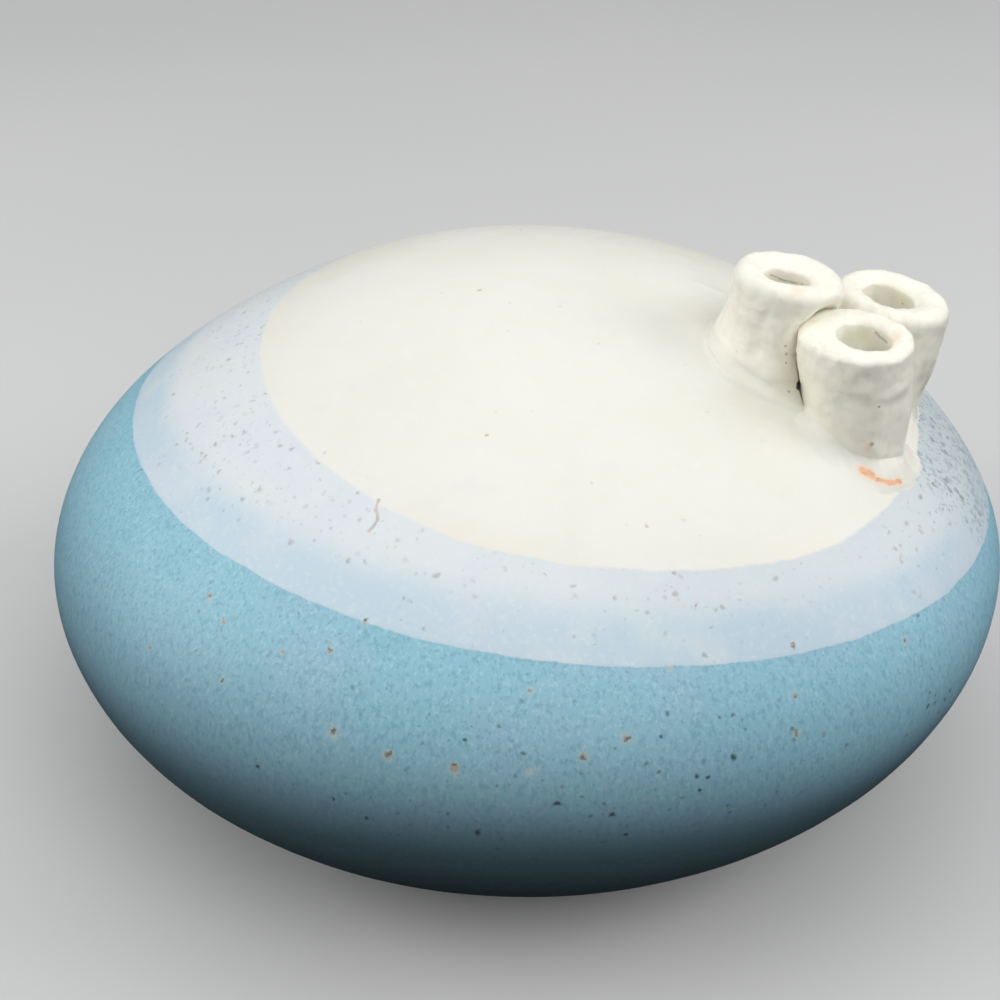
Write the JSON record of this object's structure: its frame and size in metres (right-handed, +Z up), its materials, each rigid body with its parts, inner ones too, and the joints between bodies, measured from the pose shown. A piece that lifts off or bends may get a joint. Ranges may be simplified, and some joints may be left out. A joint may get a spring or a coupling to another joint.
{
  "type": "bud vase",
  "caption": "Hand-built pebble-shaped bud vase with a clustered group of short pinched spouts on one shoulder, a cream cap over a pale band and a speckled sky-blue belly.",
  "frame": {"origin": "centre of the foot, on the plane the vase stands on", "axes": "+Z up; +X towards the shoulder that carries the spouts; -Y towards the viewer of the picture"},
  "size_m": [0.16, 0.16, 0.0954],
  "materials": {
    "sky_blue_glaze": "satin speckled sky-blue glaze, bare clay foot",
    "cream_glaze": "satin cream glaze with a pale lavender-blue band below it",
    "seam_clay": "satin speckled sky-blue glaze",
    "spout_glaze": "satin cream glaze over pinched clay",
    "collar_glaze": "satin cream glaze over smeared clay"
  },
  "bodies": {
    "root": {"lower_shell": "sky_blue_glaze", "upper_shell": "cream_glaze", "seam_coil": "seam_clay", "spout_left": "spout_glaze", "spout_front": "spout_glaze", "spout_right": "spout_glaze", "collar_left": "collar_glaze", "collar_front": "collar_glaze", "collar_right": "collar_glaze"}
  },
  "joints": []
}
